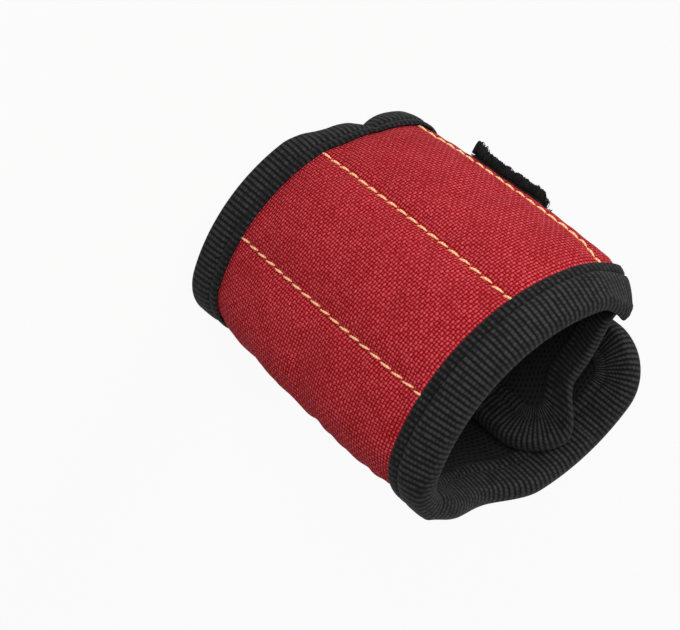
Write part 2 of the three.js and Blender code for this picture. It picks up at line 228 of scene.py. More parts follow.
def makePath():
    quarter = math.pi / 2
    sideRadius = band["sideRadius"]
    sideCentre = band["halfWidth"] - sideRadius
    overSide = band["halfDepth"] - sideRadius
    frontCentre = (sideCentre ** 2 - overSide ** 2) / (2 * overSide)
    frontRadius = band["halfDepth"] + frontCentre
    frontAngle = math.atan2(sideCentre, frontCentre)
    frontLength = 2 * frontRadius * frontAngle
    sideLength = 2 * sideRadius * (quarter - frontAngle)
    leaveAngle = math.radians(band["lastSeamTurn"])
    lastSeam = frontLength / 2 + sideRadius * (quarter - frontAngle + leaveAngle)

    # the back panel leaves the oval at the last seam on one arc, then rounds the loop end
    leaveNormal = np.array([math.cos(leaveAngle), math.sin(leaveAngle)])
    leavePoint = np.array([sideCentre, 0]) + leaveNormal * sideRadius
    backCentre = np.array([0, -frontCentre])
    wrapOffset = band["closureStack"] + band["wrapSlack"]
    backRadius = frontRadius + wrapOffset
    fromBack = leavePoint - backCentre
    wrapRadius = (backRadius ** 2 - fromBack @ fromBack) / (2 * (backRadius - fromBack @ leaveNormal))
    wrapCentre = leavePoint - leaveNormal * wrapRadius
    drift = wrapCentre - backCentre
    mergeAngle = math.atan2(drift[1], drift[0])
    cornerAngle = quarter + frontAngle
    arcs = [
        (0, -frontCentre, frontRadius, -3 * quarter - frontAngle, -3 * quarter + frontAngle),
        (-sideCentre, 0, sideRadius, -3 * quarter + frontAngle, -quarter - frontAngle),
        (0, frontCentre, frontRadius, -quarter - frontAngle, -quarter + frontAngle),
        (sideCentre, 0, sideRadius, -quarter + frontAngle, leaveAngle),
        (*wrapCentre, wrapRadius, leaveAngle, mergeAngle),
        (0, -frontCentre, backRadius, mergeAngle, cornerAngle),
        (-sideCentre, 0, sideRadius + wrapOffset, cornerAngle, cornerAngle + quarter),
    ]
    path = BandPath(arcs, 1.5 * frontLength + sideLength)

    # the flap starts as soon as the wrap has room for both tapes
    closureRadius = frontRadius + band["closureStack"]
    apart = drift @ drift
    towards = (closureRadius ** 2 - apart - wrapRadius ** 2) / (2 * math.sqrt(apart) * wrapRadius)
    flapHinge = lastSeam + wrapRadius * (mergeAngle - math.acos(towards) - leaveAngle)

    # the loop end's tip, where the room left under the back panel is used up
    clear, blocked = -frontLength - sideLength, -1.5 * frontLength - sideLength
    for _ in range(40):
        middle = (clear + blocked) / 2
        pointX, pointY, normalX, normalY = path.at(np.float64(middle))
        fromCentre = np.array([pointX, pointY]) - wrapCentre
        along = fromCentre @ np.array([normalX, normalY])
        room = math.sqrt(along ** 2 - fromCentre @ fromCentre + wrapRadius ** 2) - along
        if room > band["tipRoom"]:
            clear = middle
        else:
            blocked = middle
    return path, lastSeam, flapHinge, clear


path, lastSeam, flapHinge, loopTip = makePath()
flapTip = flapHinge + band["flapLength"]
middleHeight = band["width"] / 2
loopCentre = next(m for m in frame["record"]["mounts"] if m["name"] == "wrist_opening")["pos_m"]
pocketPitch = (lastSeam - band["pocketShift"]) / 1.5
seams = [band["pocketShift"] + (k - 1.5) * pocketPitch for k in range(4)]
hinges = seams + [flapHinge]
bodies = ["loop_end", "pocket_a", "pocket_b", "pocket_c", "back_panel", "hook_flap"]
hingeNames = ["seam_loop", "seam_ab", "seam_bc", "seam_back", "flap_fold"]
print("band path: tips at", round(loopTip, 2), "and", round(flapTip, 2), "flap hinge", round(flapHinge, 2))


def snap(value):
    return round(value / band["step"]) * band["step"]


def smooth(value):
    value = np.clip(value, 0, 1)
    return value * value * (3 - 2 * value)


def bell(distance, width):
    return np.exp(-(distance / width) ** 2)


# The four-sided faces of a grid of points
def gridFaces(index):
    return np.stack([index[:-1, :-1], index[1:, :-1], index[1:, 1:], index[:-1, 1:]], -1).reshape(-1, 4)


def stationsAlong(start, end, step):
    return np.linspace(start, end, max(2, round((end - start) / step) + 1))


# A share that rises past start and falls again before end, each over its own run
def between(along, start, rise, end, fall):
    return smooth((along - start) / rise) * smooth((end - along) / fall)


# How the worn band differs from a true oval at its two edges
worn = dict(
    lift=1.9,            # pocket a's lower edge stands up from the floor
    liftOn=(seams[0] - 16, 16, seams[1], 7),
    liftCurve=1.6,
    pinchAt=-24.0,       # its tape folds in sharply here
    pinch=4.2,
    pinchWidth=3.6,
    pinchHeight=12.0,
    pinchCurve=1.3,
    flare=1.8,           # the lower edge of the other two pockets spreads a little
    flareOn=(seams[1] - 4, 9, seams[3] + 6, 14),
    flareHeight=9.0,
    flareCurve=1.5,
    roll=3.87,           # the upper edge leans in past the loop seam
    rollOn=(-88, 14, -26, 12),
    rollMore=2.58,       # and further in behind it
    rollMoreOn=(-88, 14, -44, 14),
    rollHeight=13.0,
    rollMost=1.2,
    rollCurve=1.2,
    drop=5.8,            # and runs lower there
    dropOn=(-88, 14, -37, 15),
    backDrop=3.0,        # as it does past the last seam
    backDropOn=(seams[3] + 5, 14, flapHinge - 12, 14),
    dropFrom=30.0,
    dropRun=60.0,
    corner=1.1,          # sharp bend at the last seam, towards the upper edge
    cornerWidth=3.4,
    cornerFrom=35.0,
    cornerRun=40.0,
)


def place(along, out, height):
    along, out, height = np.broadcast_arrays(along, out, height)

    def lasting(name):
        return worn[name] * between(along, *worn[name + "On"])

    def nearFloor(reach, curve):
        return np.clip(1 - height / reach, 0, 1) ** curve

    pinched = np.exp(-np.abs(along - worn["pinchAt"]) / worn["pinchWidth"])
    bent = np.exp(-np.abs(along - seams[3]) / worn["cornerWidth"])
    lean = np.clip(1 - (band["width"] - height) / worn["rollHeight"], 0, worn["rollMost"])
    moved = out + lasting("flare") * nearFloor(worn["flareHeight"], worn["flareCurve"])
    moved = moved - worn["pinch"] * pinched * nearFloor(worn["pinchHeight"], worn["pinchCurve"])
    moved = moved - (lasting("roll") + lasting("rollMore")) * lean ** worn["rollCurve"]
    moved = moved + worn["corner"] * bent * smooth((height - worn["cornerFrom"]) / worn["cornerRun"])
    sagging = lasting("drop") + lasting("backDrop")
    raised = height - sagging * smooth((height - worn["dropFrom"]) / worn["dropRun"])
    raised = raised + lasting("lift") * nearFloor(middleHeight, worn["liftCurve"])
    pointX, pointY, normalX, normalY = path.at(along)
    spot = np.stack([pointX + normalX * moved, pointY + normalY * moved, raised], -1) * metre
    return spot + np.array([loopCentre[0], loopCentre[1], 0])


# The shell's outer face and the lining's inner face
shell = dict(
    thickness=1.0,
    inset=2.2,           # cut edge, inside the edge tape
    crown=1.9,           # middle of a pocket over its ends
    crownCurve=3,
    hold=4.0,            # how fast the cloth comes free of the edge tape
    seamDip=0.7,
    dipReach=8.0,
    fade=16.0,           # the crown runs out this far past the outer seams
    redWidth=71.0,
    trough=0.34,         # line that the stitching pulls in
    troughWidth=1.0,
    pucker=0.2,          # at each needle hole
    puckerWidth=1.5,
    fan=0.1,             # short folds that fan out from the seams
    fanAt=2.2,
    fanWidth=2.4,
    fanRate=0.85,        # radians per millimetre, a little more from seam to seam
    fanRateStep=0.06,
    fanShift=1.7,
    fanTilt=0.1,
    ripple=0.14,
    rippleFrom=4.0,      # full this far outside the pockets
    heightStep=1.0,
    alongStep=0.75,
)
stitching = dict(
    aside=-0.35,         # from the seam
    pitch=3.8,
    length=3.62,
    radius=0.29,
    count=19,
    slant=-0.13,
    slantVaries=0.35,
    wander=0.05,         # from the line
    sink=0.34,           # of a stitch's ends
    rise=0.50,           # of its middle
    flat=0.35,           # how even its top is
    thin=0.55,           # share of the radius left at its ends
    rings=13,
    sides=8,
    lower=0.8,           # the lower thread is thinner and flatter
    twist=5.0,
    ply=0.10,
    runOff=2.6,          # the loop seam's sewing drifts at its upper end
    runOffFrom=68.0,
    runOffReach=13.0,
)


def sewnAt(number, height):
    straight = seams[number] + stitching["aside"]
    if number > 0:
        return straight
    drifting = smooth((height - stitching["runOffFrom"]) / stitching["runOffReach"])
    return straight + stitching["runOff"] * drifting


def beyondPockets(along):
    return np.maximum(seams[0] - along, along - seams[3])


def stack(along):
    extra = band["pocketStack"] - band["panelStack"]
    return band["panelStack"] + extra * (1 - smooth(beyondPockets(along) / band["stackFade"]))


# The outer face slopes in towards an edge, under the tape
slope = dict(reach=6.2, upper=0.58, lower=0.12, bend=1.25, blunt=0.85, bluntFrom=34.0, bluntRun=10.0)


def slopeAt(depth):
    return (1 - np.clip(depth / slope["reach"], 0, 1)) ** slope["bend"]


def upperSlope(along):
    return slope["upper"] * (1 - slope["blunt"] * smooth((along - slope["bluntFrom"]) / slope["bluntRun"]))


# Slow waves of soft cloth: size, radians per millimetre along and up, start
waves = [(0.5, 0.31, 0.13, 0.6), (0.4, -0.11, 0.27, 2.1), (0.3, 0.53, -0.41, 4.0), (0.2, 0.83, 0.67, 1.3)]


def soften(along, height):
    return sum(size * np.sin(along * goAlong + height * goUp + first) for size, goAlong, goUp, first in waves)


# Padding lifts a pocket's middle, and the stitching holds its ends down
def crownFace(along, height):
    across = np.clip(np.abs(height - middleHeight) / (shell["redWidth"] / 2), 0, 1)
    crowned = 1 - across ** shell["crownCurve"]
    nearest = np.min([np.abs(along - s) for s in seams], axis=0)
    outside = beyondPockets(along)
    dip = shell["seamDip"] * np.clip(1 - nearest / shell["dipReach"], 0, 1) ** 2
    run = (shell["crown"] - shell["seamDip"]) * (1 - smooth(outside / shell["fade"]))
    return np.where(outside < 0, shell["crown"] - dip, run) * crowned, np.clip(crowned * shell["hold"], 0, 1)


# A pocket's cover is cloth cut a little large and sewn down on four sides, so it buckles softly
cover = dict(
    cell=0.95,
    slack=0.009,         # spare cloth, as a share of its size
    frames=24,
    quality=6,
    mass=0.3,
    tension=12.0,
    compression=6.0,
    shear=2.0,
    bending=0.4,
    scale=0.01,          # simulated ten times larger
    most=0.55,           # out from the padding
    least=0.2,           # and in towards it
    hem=3.0,             # the first waves run out this far from the seams
)


def settleCover(k):
    reach = shell["redWidth"] / 2
    columns = stationsAlong(seams[k], seams[k + 1], cover["cell"])
    rows = stationsAlong(middleHeight - reach, middleHeight + reach, cover["cell"])
    along, height = np.meshgrid(columns, rows, indexing="ij")
    rest, inside = crownFace(along, height)
    inside = inside * np.clip(np.minimum(along - seams[k], seams[k + 1] - along) / cover["hem"], 0, 1)
    start = rest + shell["ripple"] * soften(along, height) * inside
    spots = np.stack([along - seams[k], height - middleHeight, start], -1).reshape(-1, 3) * cover["scale"]
    index = np.arange(along.size).reshape(along.shape)
    mesh = bpy.data.meshes.new("cover")
    mesh.from_pydata(spots.tolist(), [], gridFaces(index).tolist())
    sheet = bpy.data.objects.new("cover", mesh)
    scene.collection.objects.link(sheet)
    border = np.concatenate([index[0], index[-1], index[1:-1, 0], index[1:-1, -1]])
    sheet.vertex_groups.new(name="sewn").add(border.tolist(), 1.0, "REPLACE")
    cloth = sheet.modifiers.new("cover", "CLOTH")
    rules = cloth.settings
    rules.vertex_group_mass = "sewn"
    rules.quality, rules.mass = cover["quality"], cover["mass"]
    rules.shrink_min = rules.shrink_max = -cover["slack"]
    rules.tension_stiffness, rules.compression_stiffness = cover["tension"], cover["compression"]
    rules.shear_stiffness, rules.bending_stiffness = cover["shear"], cover["bending"]
    rules.effector_weights.gravity = 0
    cloth.point_cache.frame_start, cloth.point_cache.frame_end = 1, cover["frames"]
    for frameNumber in range(1, cover["frames"] + 1):
        scene.frame_set(frameNumber)
    settledMesh = sheet.evaluated_get(bpy.context.evaluated_depsgraph_get()).data
    spots = np.empty(along.size * 3, np.float32)
    settledMesh.vertices.foreach_get("co", spots)
    lift = spots.reshape(*along.shape, 3)[..., 2] / cover["scale"] - rest
    scene.frame_set(1)
    bpy.data.objects.remove(sheet)
    bpy.data.meshes.remove(mesh)
    limit = np.where(lift > 0, cover["most"], cover["least"])
    return limit * np.tanh(lift / limit)


def settleCovers():
    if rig.quick():
        return np.zeros((2, 2))
    lifts = [settleCover(k) for k in range(3)]
    for k, lift in enumerate(lifts):
        least, most = round(lift.min(), 2), round(lift.max(), 2)
        print("cover of", bodies[k + 1], "settled, from", least, "to", most, "mm")
    return np.concatenate([lifts[0][:-1], lifts[1][:-1], lifts[2]])


settled = settleCovers()


def settledLift(along, height):
    lastColumn, lastRow = settled.shape[0] - 1, settled.shape[1] - 1
    column = np.clip((along - seams[0]) / (seams[3] - seams[0]), 0, 1) * lastColumn
    row = np.clip((height - middleHeight) / shell["redWidth"] + 0.5, 0, 1) * lastRow
    c = np.minimum(column.astype(int), lastColumn - 1)
    r = np.minimum(row.astype(int), lastRow - 1)
    u, v = column - c, row - r
    near = settled[c, r] * (1 - v) + settled[c, r + 1] * v
    far = settled[c + 1, r] * (1 - v) + settled[c + 1, r + 1] * v
    return near * (1 - u) + far * u


def shellFace(along, height):
    along, height = np.broadcast_arrays(np.asarray(along, float), np.asarray(height, float))
    face, inside = crownFace(along, height)
    pull = 0
    for number in range(len(seams)):
        aside = along - sewnAt(number, height)
        hole = 0.5 - 0.5 * np.cos(2 * np.pi * (height - middleHeight) / stitching["pitch"])
        rate = shell["fanRate"] + shell["fanRateStep"] * number
        fan = np.sin(height * rate + shell["fanShift"] * number + shell["fanTilt"] * aside)
        pull = pull + shell["trough"] * bell(aside, shell["troughWidth"])
        pull = pull + shell["pucker"] * hole * bell(aside, shell["puckerWidth"])
        pull = pull + shell["fan"] * fan * bell(np.abs(aside) - shell["fanAt"], shell["fanWidth"])
    outside = np.clip(beyondPockets(along) / shell["rippleFrom"], 0, 1)
    wave = shell["ripple"] * soften(along, height) * outside
    face = face + (wave + settledLift(along, height) - pull) * inside
    sunk = upperSlope(along) * slopeAt(band["width"] - height) + slope["lower"] * slopeAt(height)
    return face - stack(along) * sunk


lining = dict(
    thickness=0.9,
    inset=2.6,
    quilt=0.5,           # drawn in at the seams
    quiltWidth=2.6,
    ripple=0.07,
    rippleShift=40.0,
    rippleRate=1.3,
    heightStep=2.0,
    alongStep=1.5,
)


def liningFace(along, height):
    drawn = sum(lining["quilt"] * bell(along - s, lining["quiltWidth"]) for s in seams)
    wave = soften(along + lining["rippleShift"], height * lining["rippleRate"])
    return -stack(along) + drawn + lining["ripple"] * wave


# Extra rows close to a grid's borders keep its smooth shading flat up to there
def brace(grid, share=0.01):
    for axis in (0, 1):
        grid = np.moveaxis(grid, axis, 0)
        first = grid[:1] + share * (grid[1:2] - grid[:1])
        last = grid[-1:] + share * (grid[-2:-1] - grid[-1:])
        grid = np.moveaxis(np.concatenate([grid[:1], first, grid[1:-1], last, grid[-1:]]), 0, axis)
    return grid


# Meshes are gathered from slabs and tubes, then made into one object
class Piece:
    def __init__(self, name):
        self.name = name
        self.points, self.marks, self.faces, self.flat, self.slots = [], [], [], [], []
        self.count = 0

    def addPoints(self, points, marks):
        first = self.count
        self.points.append(points.reshape(-1, 3))
        self.marks.append(np.broadcast_to(marks, points.shape).reshape(-1, 3))
        self.count += self.points[-1].shape[0]
        return first

    def addFaces(self, faces, flat, slot):
        self.faces.extend(faces)
        self.flat.extend([flat] * len(faces))
        self.slots.extend([slot] * len(faces))

    # a closed sheet between two grids of points
    def slab(self, top, bottom, marks, slot=0):
        top, bottom, marks = brace(top), brace(bottom), brace(marks)
        rows, columns = top.shape[:2]
        size = rows * columns
        first = self.addPoints(top, marks)
        self.addPoints(bottom, marks)
        index = np.arange(size).reshape(rows, columns)
        over = gridFaces(index)
        under = over[:, ::-1] + size
        loop = np.concatenate([index[:-1, 0], index[-1, :-1], index[:0:-1, -1], index[0, :0:-1]])
        follow = np.roll(loop, -1)
        rim = np.stack([follow, loop, loop + size, follow + size], -1)
        spots = np.concatenate([top.reshape(-1, 3), bottom.reshape(-1, 3)])
        spots = spots - spots.mean(0)
        volume = 0
        for quads in (over, under, rim):
            a, b, c, d = (spots[quads[:, k]] for k in range(4))
            volume += np.sum(a * np.cross(b, c)) + np.sum(a * np.cross(c, d))
        for quads, flat in ((over, False), (under, False), (rim, True)):
            quads = quads if volume > 0 else quads[:, ::-1]
            self.addFaces((quads + first).tolist(), flat, slot)

    # round tubes along (along, out, height) lines, each lying in one plane
    def tubes(self, lines, planes, radii, sides, slot=0, twist=0.0, ply=0.0):
        number, rings = lines.shape[:2]
        tangents = np.gradient(lines, axis=1)
        tangents /= np.linalg.norm(tangents, axis=-1, keepdims=True)
        flatAxis = np.broadcast_to(planes[:, None, :], lines.shape)
        upAxis = np.cross(tangents, flatAxis)
        turn = 2 * np.pi * np.arange(sides) / sides
        travel = np.linspace(0, 1, rings)
        wrap = turn[None, :] - twist * travel[:, None]
        size = np.broadcast_to(radii, (number, rings))[:, :, None] * (1 + ply * np.cos(2 * wrap))[None]
        ring = (
            lines[:, :, None, :]
            + (size * np.cos(turn))[..., None] * flatAxis[:, :, None, :]
            + (size * np.sin(turn))[..., None] * upAxis[:, :, None, :]
        )
        spots = place(ring[..., 0], ring[..., 1], ring[..., 2])
        marks = np.zeros(spots.shape)
        marks[..., 0] = travel[None, :, None]
        marks[..., 1] = (turn / (2 * np.pi))[None, None, :]
        first = self.addPoints(spots, marks)
        index = first + np.arange(number * rings * sides).reshape(number, rings, sides)
        after = np.roll(index, -1, axis=2)
        quads = np.stack([index[:, :-1], after[:, :-1], after[:, 1:], index[:, 1:]], -1).reshape(-1, 4)
        self.addFaces(quads.tolist(), False, slot)
        self.addFaces(index[:, 0, ::-1].tolist(), False, slot)
        self.addFaces(index[:, -1].tolist(), False, slot)

    def make(self, *finishes):
        mesh = bpy.data.meshes.new(self.name)
        mesh.from_pydata(np.concatenate(self.points).tolist(), [], self.faces)
        for finish in finishes:
            mesh.materials.append(finish)
        mesh.polygons.foreach_set("use_smooth", np.logical_not(self.flat))
        mesh.polygons.foreach_set("material_index", self.slots)
        mark = mesh.attributes.new("lay", "FLOAT_VECTOR", "POINT")
        mark.data.foreach_set("vector", np.concatenate(self.marks).astype(np.float32).ravel())
        mesh.update()
        thing = bpy.data.objects.new(self.name, mesh)
        scene.collection.objects.link(thing)
        return thing


# One value, colour or vector in a node tree, with Python's operators
class Signal:
    def __init__(self, tree, socket):
        self.tree, self.socket = tree, socket

    # another output of the same node
    def twin(self, key):
        return Signal(self.tree, self.socket.node.outputs[key])

    def maths(self, operation, first, second=0.0):
        return self.tree.add("ShaderNodeMath", {"operation": operation}, {0: first, 1: second})

    def __add__(self, other):
        return self.maths("ADD", self, other)

    def __radd__(self, other):
        return self.maths("ADD", other, self)

    def __sub__(self, other):
        return self.maths("SUBTRACT", self, other)

    def __rsub__(self, other):
        return self.maths("SUBTRACT", other, self)

    def __mul__(self, other):
        return self.maths("MULTIPLY", self, other)

    def __rmul__(self, other):
        return self.maths("MULTIPLY", other, self)

    def __truediv__(self, other):
        return self.maths("DIVIDE", self, other)

    def __rtruediv__(self, other):
        return self.maths("DIVIDE", other, self)

    def __pow__(self, other):
        return self.maths("POWER", self, other)

    def __abs__(self):
        return self.maths("ABSOLUTE", self)

    def floor(self):
        return self.maths("FLOOR", self)

    def fraction(self):
        return self.maths("FRACT", self)

    # rises from nought to one and back over each whole step
    def arch(self):
        aside = self.fraction() * 2 - 1
        return 1 - aside * aside

    # a half on every second step
    def stagger(self):
        return (self.floor() * 0.5).fraction()

    def smallest(self, other):
        return self.maths("MINIMUM", self, other)

    def largest(self, other):
        return self.maths("MAXIMUM", self, other)

    def rise(self, low, high):
        sockets = {"Value": self, "From Min": low, "From Max": high}
        return self.tree.add("ShaderNodeMapRange", {"interpolation_type": "SMOOTHSTEP"}, sockets)


class NodeTree:
    def __init__(self, owner):
        owner.use_nodes = True
        self.nodes, self.links = owner.node_tree.nodes, owner.node_tree.links

    # any node: its settings first, then socket values and links
    def add(self, kind, settings, sockets, out=0):
        node = self.nodes.new(kind)
        for key, value in settings.items():
            setattr(node, key, value)
        for key, value in sockets.items():
            self.feed(node.inputs[key], value)
        return Signal(self, node.outputs[out])

    def feed(self, socket, value):
        if isinstance(value, Signal):
            self.links.new(value.socket, socket)
        elif isinstance(value, tuple) and len(value) == 3 and socket.type == "RGBA":
            socket.default_value = (*value, 1)
        else:
            socket.default_value = value

    # what a node gives that the tree has from the start
    def known(self, name):
        return Signal(self, self.nodes[name].outputs[0])

    # and the sockets that such a node takes
    def fill(self, name, **sockets):
        for key, value in sockets.items():
            self.feed(self.nodes[name].inputs[key.replace("_", " ")], value)

    def surface(self, output, factor, first, second):
        joined = self.add("ShaderNodeMixShader", {}, {0: factor, 1: first, 2: second})
        self.fill(output, Surface=joined)

    # one where the view meets a surface, straight or by a mirror, and zero where its light falls
    def seenDirectly(self):
        straight = self.add("ShaderNodeLightPath", {}, {}, "Is Camera Ray")
        return straight.largest(straight.twin("Is Glossy Ray")).largest(straight.twin("Is Transmission Ray"))


class Finish(NodeTree):
    def __init__(self, name, **fixed):
        self.material = bpy.data.materials.new(name)
        super().__init__(self.material)
        self.paint(**fixed)

    def paint(self, **sockets):
        self.fill("Principled BSDF", **sockets)

    # a cloth's place on the band in millimetres, or a thread's travel and turn
    def lay(self):
        return self.add("ShaderNodeAttribute", {"attribute_name": "lay"}, {}, "Vector")

    def split(self, vector):
        first = self.add("ShaderNodeSeparateXYZ", {}, {0: vector})
        return first, first.twin("Y")

    def mix(self, factor, first, second):
        return self.add("ShaderNodeMix", {"data_type": "RGBA"}, {0: factor, 6: first, 7: second}, 2)

    def noise(self, vector, scale, detail=2.0):
        sockets = {"Vector": vector, "Scale": scale, "Detail": detail, "Roughness": 0.55}
        return self.add("ShaderNodeTexNoise", {}, sockets, "Fac")

    # a different value on each yarn crossing
    def cell(self, column, row):
        spot = self.add("ShaderNodeCombineXYZ", {}, {0: column, 1: row})
        return self.add("ShaderNodeTexWhiteNoise", {"noise_dimensions": "2D"}, {"Vector": spot}, "Value")

    def bump(self, height, strength, distance):
        sockets = {"Height": height, "Strength": strength, "Distance": distance * metre}
        return self.add("ShaderNodeBump", {}, sockets, "Normal")


weave = dict(
    yarn=0.83,           # millimetres from yarn to yarn
    sway=0.45,           # how far rows and columns wander, in yarns
    swayScale=0.35,
    drift=0.40,
    driftScale=1.1,
    upright=0.68,        # upright yarns lie lower than lengthwise ones
    # painted shade in the gaps between yarns, and the top colour a painted highlight standing in for the yarns' sheen
    valley=(0.10, 0.0008, 0.0017),
    side=(0.42, 0.0065, 0.0115),
    top=(0.70, 0.074, 0.096),
    lit=(0.18, 1.0),     # heights where the top colour, a painted highlight, starts and is full
    shade=(0.22, 0.004, 0.006),  # slow patches
    shadeShare=0.25,
    shadeScale=0.09,
    fuzzScale=4.5,
    roughness=0.70,
    bump=0.8,
    bumpDepth=0.32,
)


def redWeave():
    cloth = Finish("red_weave", Specular_IOR_Level=0.06, Sheen_Weight=0.01, Sheen_Roughness=0.4)
    lay = cloth.lay()
    along, height = cloth.split(lay)
    sway = weave["sway"] * (cloth.noise(lay, weave["swayScale"]) - 0.5)
    drift = weave["drift"] * (cloth.noise(lay, weave["driftScale"]) - 0.5)
    column = along / weave["yarn"] + sway + drift
    row = height / weave["yarn"] - sway + drift
    turned = (column.floor() + row.floor()).stagger() * 2
    acrossColumn, acrossRow = column.arch(), row.arch()
    upright = acrossColumn * (0.35 + 0.65 * acrossRow) * weave["upright"]
    lengthwise = acrossRow * (0.45 + 0.55 * acrossColumn)
    relief = upright + turned * (lengthwise - upright)
    fuzz = cloth.noise(lay, weave["fuzzScale"], 3.0)
    slow = cloth.noise(lay, weave["shadeScale"], 3.0)
    each = cloth.cell(column.floor(), row.floor())
    # painted highlight on the yarn tops and painted shade in the gaps, set by the relief, with random tone per yarn
    lit = (relief * (0.50 + 0.55 * fuzz + 0.50 * each)).rise(*weave["lit"])
    shadedLow = cloth.mix((relief * 1.6).smallest(1.0), weave["valley"], weave["side"])
    colour = cloth.mix(lit, shadedLow, weave["top"])
    cloth.paint(
        Base_Color=cloth.mix(slow.rise(0.35, 0.75) * weave["shadeShare"], colour, weave["shade"]),
        Roughness=weave["roughness"] + 0.2 * (1 - relief),
        Normal=cloth.bump(relief + 0.25 * fuzz, weave["bump"], weave["bumpDepth"]),
    )
    return cloth.material


thread = dict(
    pale=(1.0, 0.66, 0.36),
    paleShade=(0.88, 0.34, 0.08),
    black=(0.012, 0.012, 0.013),
    blackShade=(0.003, 0.003, 0.003),
    turns=4,             # of the plies in a stitch
    endShade=0.8,        # painted shade at a stitch's ends, where they dive into the cloth
    roughness=0.5,
    bump=0.5,
    bumpDepth=0.12,
)


def threadFinish(name, light, dark):
    yarn = Finish(name, Specular_IOR_Level=0.3, Sheen_Weight=0.05)
    travel, turn = yarn.split(yarn.lay())
    # painted shade between the plies and at the stitch's ends, lighter on the ply crests
    crest = (travel * thread["turns"] + turn * 2).arch()
    atEnds = abs(travel * 2 - 1) ** 4
    yarn.paint(
        Base_Color=yarn.mix(crest ** 0.6 * (1 - thread["endShade"] * atEnds), dark, light),
        Roughness=thread["roughness"] + 0.25 * (1 - crest),
        Normal=yarn.bump(crest, thread["bump"], thread["bumpDepth"]),
    )
    return yarn.material


edgeTape = dict(
    ribPitch=1.36,
    ribHeight=0.13,
    beadPitch=0.9,
    sway=0.12,           # how far ribs and beads wander, of their pitch
    beadSway=0.5,
    swayScale=0.6,
    sewLine=2.95,        # from the selvage, across the tape
    sewn=(0.15, 0.8),    # painted shade beside that line
    selvage=(1.6, 3.4),  # painted shade on the tape up to here
    # painted shade in the grooves between ribs; the rib colour is a painted highlight on the crests and beads
    groove=(0.0022, 0.0022, 0.0025),
    rib=(0.037, 0.037, 0.0395),
    lit=(0.12, 1.05),
    fuzzScale=5.0,
    patchScale=0.12,
    roughness=0.78,
    bump=0.7,
    bumpDepth=0.2,
)


def edgeTapeFinish():
    tape = Finish("edge_tape", Specular_IOR_Level=0.12, Sheen_Weight=0.02)
    lay = tape.lay()
    along, across = tape.split(lay)
    sway = tape.noise(lay, edgeTape["swayScale"]) - 0.5
    ribs = along / edgeTape["ribPitch"] + edgeTape["sway"] * sway
    beads = across / edgeTape["beadPitch"] + ribs.stagger() + edgeTape["beadSway"] * sway
    ribTop, bead = ribs.arch(), beads.arch()
    fuzz = tape.noise(lay, edgeTape["fuzzScale"], 3.0)
    slow = tape.noise(lay, edgeTape["patchScale"])
    each = tape.cell(ribs.floor(), beads.floor())
    relief = ribTop * (0.7 + 0.3 * bead)
    # painted shade beside the sew line and over the selvage zone
    sewn = 0.55 + 0.45 * abs(across - edgeTape["sewLine"]).rise(*edgeTape["sewn"])
    selvage = 0.72 + 0.28 * across.rise(*edgeTape["selvage"])
    # brighter on rib crests and beads as painted highlight, with random tone from fuzz, each bead and slow patches
    crest = ribTop ** 1.6 * (0.55 + 0.45 * bead) * sewn * selvage
    lit = (crest * (0.30 + 0.45 * fuzz + 0.50 * each + 0.45 * slow)).rise(*edgeTape["lit"])
    tape.paint(
        Base_Color=tape.mix(lit, edgeTape["groove"], edgeTape["rib"]),
        Roughness=edgeTape["roughness"] + 0.2 * fuzz,
        Normal=tape.bump(relief + 0.3 * fuzz, edgeTape["bump"], edgeTape["bumpDepth"]),
    )
    return tape.material


knit = dict(
    row=1.3,
    column=1.5,
    hole=(0.35, 0.75),   # where the yarn round a hole starts and is full
    dark=(0.0025, 0.0025, 0.003),
    light=(0.016, 0.016, 0.0175),
    fuzzScale=5.0,
    roughness=0.80,
    bump=0.7,
    bumpDepth=0.25,
)


def liningFinish():
    cloth = Finish("lining_mesh", Specular_IOR_Level=0.12, Sheen_Weight=0.02)
    lay = cloth.lay()
    along, height = cloth.split(lay)
    row = height / knit["row"]
    column = along / knit["column"] + row.stagger()
    away = (2 - row.arch() - column.arch()) ** 0.5
    solid = away.rise(*knit["hole"])
    fuzz = cloth.noise(lay, knit["fuzzScale"], 3.0)
    cloth.paint(
        Base_Color=cloth.mix(solid * (0.5 + 0.7 * fuzz), knit["dark"], knit["light"]),
        Roughness=knit["roughness"] + 0.15 * fuzz,
        Normal=cloth.bump(solid + 0.3 * fuzz, knit["bump"], knit["bumpDepth"]),
    )
    return cloth.material


pileFibre = dict(dark=(0.003, 0.003, 0.0033), light=(0.010, 0.010, 0.0105), roughness=0.9, scale=700.0)
hookFibre = dict(dark=(0.007, 0.007, 0.008), light=(0.022, 0.022, 0.024), roughness=0.5, scale=500.0)
foamFibre = dict(dark=(0.035, 0.036, 0.038), light=(0.085, 0.087, 0.09), roughness=0.88, scale=1400.0)


def fibreFinish(name, dark, light, roughness, scale):
    fibre = Finish(name, Specular_IOR_Level=0.25)
    spot = fibre.add("ShaderNodeTexCoord", {}, {}, "Object")
    grain = fibre.noise(spot, scale, 4.0)
    fibre.paint(
        Base_Color=fibre.mix(grain.rise(0.3, 0.7), dark, light),
        Roughness=roughness + 0.2 * (grain - 0.5),
        Normal=fibre.bump(grain, 0.4, 0.15),
    )
    return fibre.material


nickel = dict(dull=(0.60, 0.60, 0.58), bright=(0.78, 0.78, 0.77), roughness=0.16, haze=0.22, scale=900.0)


def nickelFinish():
    metal = Finish("magnet_nickel", Metallic=1.0)
    spot = metal.add("ShaderNodeTexCoord", {}, {}, "Object")
    haze = metal.noise(spot, nickel["scale"], 4.0)
    metal.paint(
        Base_Color=metal.mix(haze, nickel["dull"], nickel["bright"]),
        Roughness=nickel["roughness"] + nickel["haze"] * haze,
    )
    return metal.material


